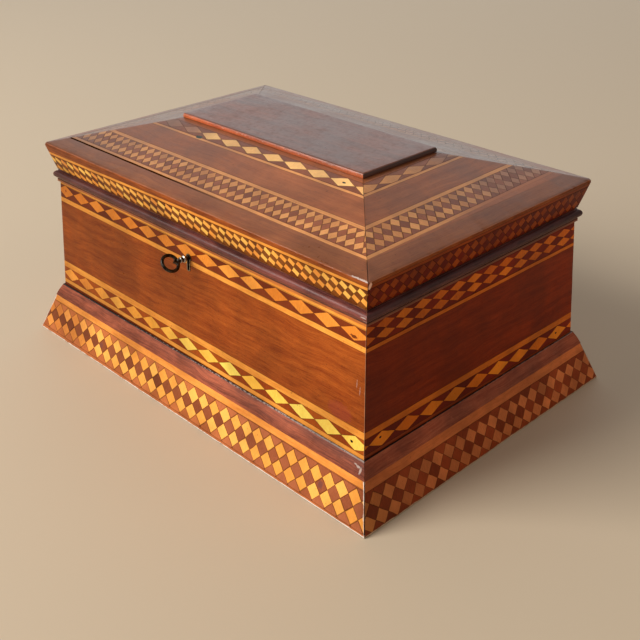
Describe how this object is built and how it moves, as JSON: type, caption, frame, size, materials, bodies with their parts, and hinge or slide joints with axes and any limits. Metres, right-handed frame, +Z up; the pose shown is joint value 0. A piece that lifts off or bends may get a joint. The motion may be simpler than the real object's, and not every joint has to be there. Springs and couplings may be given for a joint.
{
  "type": "marquetry box",
  "caption": "Rectangular wooden box veneered in lozenge marquetry, with a splayed plinth, leaning sides, a hipped hinged lid with a raised panel, and a front lock with its key.",
  "frame": {"origin": "middle of the underside, on the surface that the box stands on", "axes": "+X along the front to the right, the front with the keyhole faces -Y, +Z up"},
  "size_m": [0.3316, 0.2316, 0.1638],
  "materials": {
    "mahogany_veneer": "old polished mahogany veneer with inlaid bands",
    "lozenge_parquetry": "worn parquetry of light and dark lozenges with stringing",
    "rosewood_moulding": "dark polished moulding, worn lighter on its high parts",
    "carcase_wood": "plain unpolished softwood",
    "brass": "dulled brass",
    "dark_iron": "dark iron, bright on its edges"
  },
  "bodies": {
    "case": {"case_bead_back": "rosewood_moulding", "case_bead_front": "rosewood_moulding", "case_bead_left": "rosewood_moulding", "case_bead_right": "rosewood_moulding", "case_floor": "carcase_wood", "case_wall_back": "mahogany_veneer", "case_wall_front": "mahogany_veneer", "case_wall_left": "mahogany_veneer", "case_wall_right": "mahogany_veneer", "hinge_left_case_leaf": "brass", "hinge_left_pin": "brass", "hinge_right_case_leaf": "brass", "hinge_right_pin": "brass", "key": "dark_iron", "keyhole_liner": "brass", "lock": "brass", "plinth_board_back": "lozenge_parquetry", "plinth_board_front": "lozenge_parquetry", "plinth_board_left": "lozenge_parquetry", "plinth_board_right": "lozenge_parquetry", "plinth_moulding_back": "rosewood_moulding", "plinth_moulding_front": "rosewood_moulding", "plinth_moulding_left": "rosewood_moulding", "plinth_moulding_right": "rosewood_moulding"},
    "lid": {"lid_edge_front": "lozenge_parquetry", "lid_edge_right": "lozenge_parquetry", "lid_edge_back": "lozenge_parquetry", "lid_edge_left": "lozenge_parquetry", "lid_slope_front": "mahogany_veneer", "lid_slope_right": "mahogany_veneer", "lid_slope_back": "mahogany_veneer", "lid_slope_left": "mahogany_veneer", "lid_panel": "mahogany_veneer", "hinge_left_lid_leaf": "brass", "hinge_right_lid_leaf": "brass", "lock_link_plate": "brass"}
  },
  "joints": [
    {"name": "lid_hinge", "type": "hinge", "parent": "case", "child": "lid", "pos_m": [0, 0.09829, 0.1241], "axis": [-1, 0, 0], "range_deg": [0, 100]}
  ]
}
